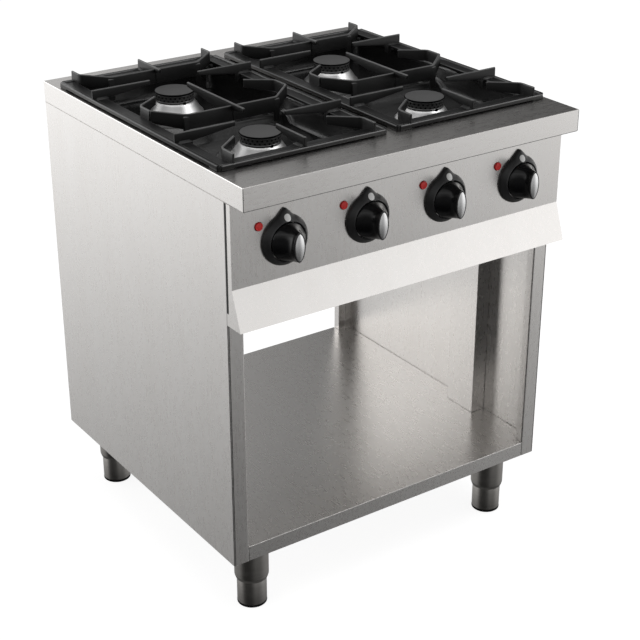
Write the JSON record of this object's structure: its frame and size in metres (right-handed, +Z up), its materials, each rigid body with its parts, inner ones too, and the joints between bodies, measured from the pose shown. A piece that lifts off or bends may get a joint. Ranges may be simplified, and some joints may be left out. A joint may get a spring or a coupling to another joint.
{
  "type": "commercial gas range",
  "caption": "Freestanding commercial gas range with cast-iron grates over open burners, rotary knobs on a folded front and an open stainless stand on screw feet.",
  "frame": {"origin": "on the floor at the middle of the overall box, which includes the knobs", "axes": "+Z up, -Y to the front where the knobs are, +X to the right as the cook faces it"},
  "size_m": [0.7, 0.708, 0.8815],
  "materials": {
    "stainless_steel": "fine satin grain, stainless sheet",
    "black_enamel": "satin black vitreous enamel on pressed steel",
    "cast_iron": "matt black enamelled cast iron",
    "leg_metal": "satin grey metal",
    "burner_aluminium": "bright spun aluminium",
    "burner_iron": "matt black enamel",
    "bezel_plastic": "satin black",
    "knob_plastic": "gloss black",
    "silver_trim": "satin silver",
    "stem_steel": "plain",
    "valve_brass": "plain machined brass",
    "red_plastic": "red, slightly glossy",
    "pipe_steel": "zinc grey"
  },
  "bodies": {
    "root": {"worktop": "stainless_steel", "side_panel_left": "stainless_steel", "side_panel_right": "stainless_steel", "bottom_shelf": "stainless_steel", "base_rail_front": "stainless_steel", "base_rail_rear": "stainless_steel", "control_panel": "stainless_steel", "back_panel": "stainless_steel", "compartment_floor": "stainless_steel", "upright_channel_left": "stainless_steel", "upright_channel_right": "stainless_steel", "drip_pan_left": "black_enamel", "drip_pan_right": "black_enamel", "leg_front_left": "leg_metal", "burner_cup_front_left": "burner_aluminium", "leg_rear_left": "leg_metal", "burner_cup_rear_left": "burner_aluminium", "leg_front_right": "leg_metal", "burner_cup_front_right": "burner_aluminium", "leg_rear_right": "leg_metal", "burner_cup_rear_right": "burner_aluminium", "knob_bezel_1": "bezel_plastic", "gas_valve_1": "valve_brass", "knob_bezel_2": "bezel_plastic", "gas_valve_2": "valve_brass", "knob_bezel_3": "bezel_plastic", "gas_valve_3": "valve_brass", "knob_bezel_4": "bezel_plastic", "gas_valve_4": "valve_brass", "gas_rail": "pipe_steel"},
    "stem_1": {"valve_stem_1": "stem_steel"},
    "knob_1": {"knob_1": "knob_plastic", "knob_insert_1": "silver_trim"},
    "button_1": {"igniter_button_1": "red_plastic"},
    "stem_2": {"valve_stem_2": "stem_steel"},
    "knob_2": {"knob_2": "knob_plastic", "knob_insert_2": "silver_trim"},
    "button_2": {"igniter_button_2": "red_plastic"},
    "stem_3": {"valve_stem_3": "stem_steel"},
    "knob_3": {"knob_3": "knob_plastic", "knob_insert_3": "silver_trim"},
    "button_3": {"igniter_button_3": "red_plastic"},
    "stem_4": {"valve_stem_4": "stem_steel"},
    "knob_4": {"knob_4": "knob_plastic", "knob_insert_4": "silver_trim"},
    "button_4": {"igniter_button_4": "red_plastic"},
    "foot_front_left": {"foot_front_left": "leg_metal"},
    "foot_rear_left": {"foot_rear_left": "leg_metal"},
    "foot_front_right": {"foot_front_right": "leg_metal"},
    "foot_rear_right": {"foot_rear_right": "leg_metal"},
    "grate_left": {"grate_left": "cast_iron"},
    "grate_right": {"grate_right": "cast_iron"},
    "crown_front_left": {"burner_crown_front_left": "burner_iron"},
    "cap_front_left": {"burner_cap_front_left": "burner_iron"},
    "crown_rear_left": {"burner_crown_rear_left": "burner_iron"},
    "cap_rear_left": {"burner_cap_rear_left": "burner_iron"},
    "crown_front_right": {"burner_crown_front_right": "burner_iron"},
    "cap_front_right": {"burner_cap_front_right": "burner_iron"},
    "crown_rear_right": {"burner_crown_rear_right": "burner_iron"},
    "cap_rear_right": {"burner_cap_rear_right": "burner_iron"}
  },
  "joints": [
    {"name": "knob_push_1", "type": "slide", "parent": "root", "child": "stem_1", "axis": [0, 1, 0], "range_m": [0, 0.005], "stiffness_N_per_m": 600, "springref_m": -0.01},
    {"name": "knob_turn_1", "type": "hinge", "parent": "stem_1", "child": "knob_1", "pos_m": [-0.249, -0.306, 0.735], "axis": [0, -1, 0], "range_deg": [0, 180]},
    {"name": "igniter_push_1", "type": "slide", "parent": "root", "child": "button_1", "axis": [0, 1, 0], "range_m": [0, 0.002], "stiffness_N_per_m": 400, "springref_m": -0.005},
    {"name": "knob_push_2", "type": "slide", "parent": "root", "child": "stem_2", "axis": [0, 1, 0], "range_m": [0, 0.005], "stiffness_N_per_m": 600, "springref_m": -0.01},
    {"name": "knob_turn_2", "type": "hinge", "parent": "stem_2", "child": "knob_2", "pos_m": [-0.083, -0.306, 0.735], "axis": [0, -1, 0], "range_deg": [0, 180]},
    {"name": "igniter_push_2", "type": "slide", "parent": "root", "child": "button_2", "axis": [0, 1, 0], "range_m": [0, 0.002], "stiffness_N_per_m": 400, "springref_m": -0.005},
    {"name": "knob_push_3", "type": "slide", "parent": "root", "child": "stem_3", "axis": [0, 1, 0], "range_m": [0, 0.005], "stiffness_N_per_m": 600, "springref_m": -0.01},
    {"name": "knob_turn_3", "type": "hinge", "parent": "stem_3", "child": "knob_3", "pos_m": [0.083, -0.306, 0.735], "axis": [0, -1, 0], "range_deg": [0, 180]},
    {"name": "igniter_push_3", "type": "slide", "parent": "root", "child": "button_3", "axis": [0, 1, 0], "range_m": [0, 0.002], "stiffness_N_per_m": 400, "springref_m": -0.005},
    {"name": "knob_push_4", "type": "slide", "parent": "root", "child": "stem_4", "axis": [0, 1, 0], "range_m": [0, 0.005], "stiffness_N_per_m": 600, "springref_m": -0.01},
    {"name": "knob_turn_4", "type": "hinge", "parent": "stem_4", "child": "knob_4", "pos_m": [0.249, -0.306, 0.735], "axis": [0, -1, 0], "range_deg": [0, 180]},
    {"name": "igniter_push_4", "type": "slide", "parent": "root", "child": "button_4", "axis": [0, 1, 0], "range_m": [0, 0.002], "stiffness_N_per_m": 400, "springref_m": -0.005},
    {"name": "foot_screw_front_left", "type": "slide", "parent": "root", "child": "foot_front_left", "axis": [0, 0, -1], "range_m": [0, 0.045]},
    {"name": "foot_screw_rear_left", "type": "slide", "parent": "root", "child": "foot_rear_left", "axis": [0, 0, -1], "range_m": [0, 0.045]},
    {"name": "foot_screw_front_right", "type": "slide", "parent": "root", "child": "foot_front_right", "axis": [0, 0, -1], "range_m": [0, 0.045]},
    {"name": "foot_screw_rear_right", "type": "slide", "parent": "root", "child": "foot_rear_right", "axis": [0, 0, -1], "range_m": [0, 0.045]},
    {"name": "grate_lift_left", "type": "slide", "parent": "root", "child": "grate_left", "axis": [0, 0, 1], "range_m": [0, 0.15]},
    {"name": "grate_lift_right", "type": "slide", "parent": "root", "child": "grate_right", "axis": [0, 0, 1], "range_m": [0, 0.15]},
    {"name": "crown_lift_front_left", "type": "slide", "parent": "root", "child": "crown_front_left", "axis": [0, 0, 1], "range_m": [0, 0.08]},
    {"name": "cap_lift_front_left", "type": "slide", "parent": "crown_front_left", "child": "cap_front_left", "axis": [0, 0, 1], "range_m": [0, 0.06]},
    {"name": "crown_lift_rear_left", "type": "slide", "parent": "root", "child": "crown_rear_left", "axis": [0, 0, 1], "range_m": [0, 0.08]},
    {"name": "cap_lift_rear_left", "type": "slide", "parent": "crown_rear_left", "child": "cap_rear_left", "axis": [0, 0, 1], "range_m": [0, 0.06]},
    {"name": "crown_lift_front_right", "type": "slide", "parent": "root", "child": "crown_front_right", "axis": [0, 0, 1], "range_m": [0, 0.08]},
    {"name": "cap_lift_front_right", "type": "slide", "parent": "crown_front_right", "child": "cap_front_right", "axis": [0, 0, 1], "range_m": [0, 0.06]},
    {"name": "crown_lift_rear_right", "type": "slide", "parent": "root", "child": "crown_rear_right", "axis": [0, 0, 1], "range_m": [0, 0.08]},
    {"name": "cap_lift_rear_right", "type": "slide", "parent": "crown_rear_right", "child": "cap_rear_right", "axis": [0, 0, 1], "range_m": [0, 0.06]}
  ]
}
